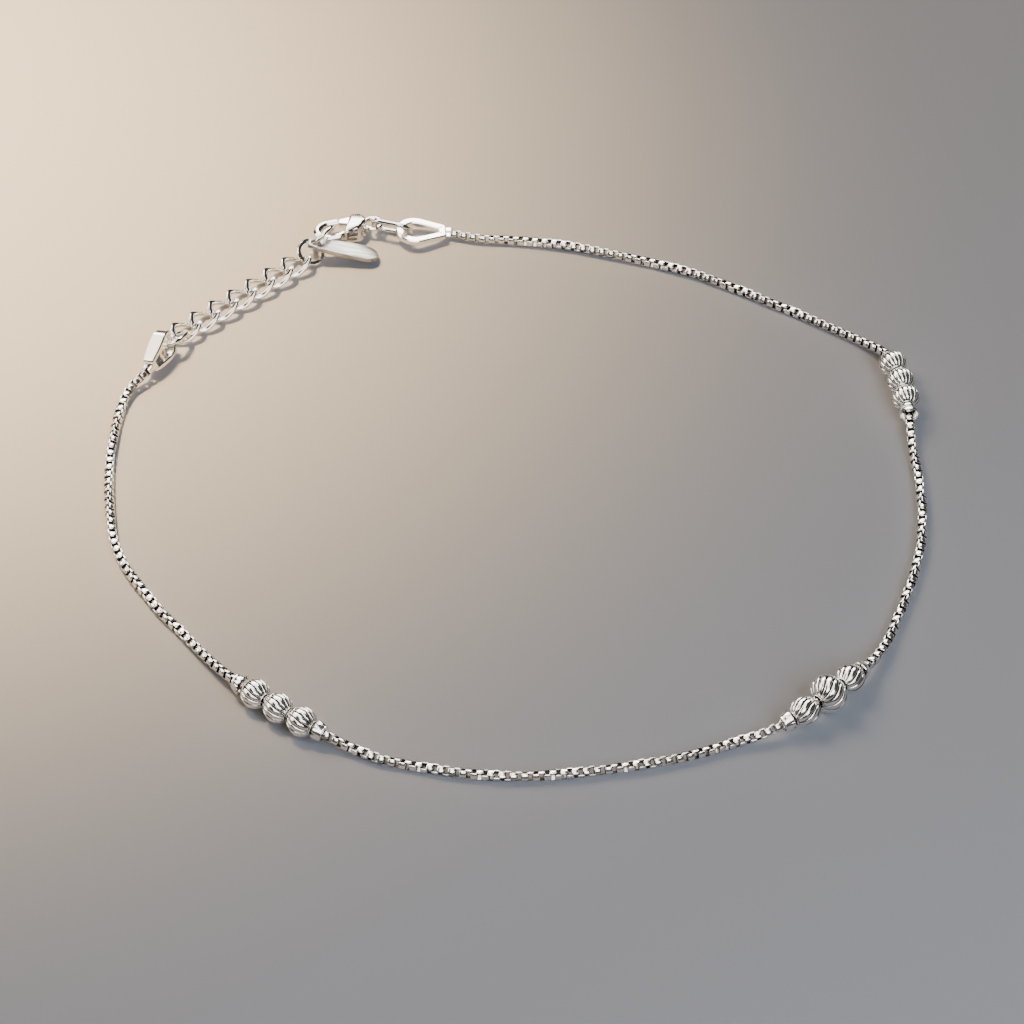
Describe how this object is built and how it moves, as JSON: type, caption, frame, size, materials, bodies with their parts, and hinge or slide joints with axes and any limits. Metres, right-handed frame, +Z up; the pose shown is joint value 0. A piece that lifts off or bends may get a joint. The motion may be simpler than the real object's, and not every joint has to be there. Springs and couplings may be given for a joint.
{
  "type": "anklet",
  "caption": "Fine silver box-chain anklet with fluted round beads in small groups, a curb-link extender with a plain tag, and a lobster clasp, lying closed in a loop.",
  "frame": {"origin": "middle of the loop's outer box, on the surface that the anklet lies on", "axes": "+Z up from that surface; +X to the right and +Y away from the picture's camera, so that the clasp is at +Y"},
  "size_m": [0.0856, 0.0845, 0.004],
  "materials": {
    "polished_silver": "polished sterling silver",
    "cut_silver": "sterling silver with cut flutes, bright lands and darker grooves",
    "brushed_silver": "satin brushed sterling silver"
  },
  "bodies": {
    "anklet_body": {"box_chain_front": "polished_silver", "box_chain_back": "polished_silver", "front_left_cap_outer": "polished_silver", "front_left_bead_1": "cut_silver", "front_left_bead_2": "cut_silver", "front_left_bead_3": "cut_silver", "front_left_cap_inner": "polished_silver", "front_right_cap_inner": "polished_silver", "front_right_bead_1": "cut_silver", "front_right_big_bead": "cut_silver", "front_right_bead_3": "cut_silver", "front_right_cap_outer": "polished_silver", "right_cap": "polished_silver", "right_bead_3": "cut_silver", "right_bead_2": "cut_silver", "right_bead_1": "cut_silver", "connector_left": "polished_silver", "connector_right": "polished_silver", "extender_link_1": "polished_silver", "extender_link_2": "polished_silver", "extender_link_3": "polished_silver", "extender_link_4": "polished_silver", "extender_link_5": "polished_silver", "extender_link_6": "polished_silver", "extender_link_7": "polished_silver", "extender_link_8": "polished_silver", "extender_end_link": "polished_silver", "end_ring": "polished_silver", "tag": "brushed_silver", "clasp_body": "brushed_silver", "clasp_link": "polished_silver"},
    "lever": {"clasp_lever": "polished_silver"}
  },
  "joints": [
    {"name": "lever_hinge", "type": "hinge", "parent": "anklet_body", "child": "lever", "pos_m": [-0.01749, 0.04098, 0.00115], "axis": [0, 0, 1], "range_deg": [0, 25], "stiffness_Nm_per_rad": 0.001}
  ]
}
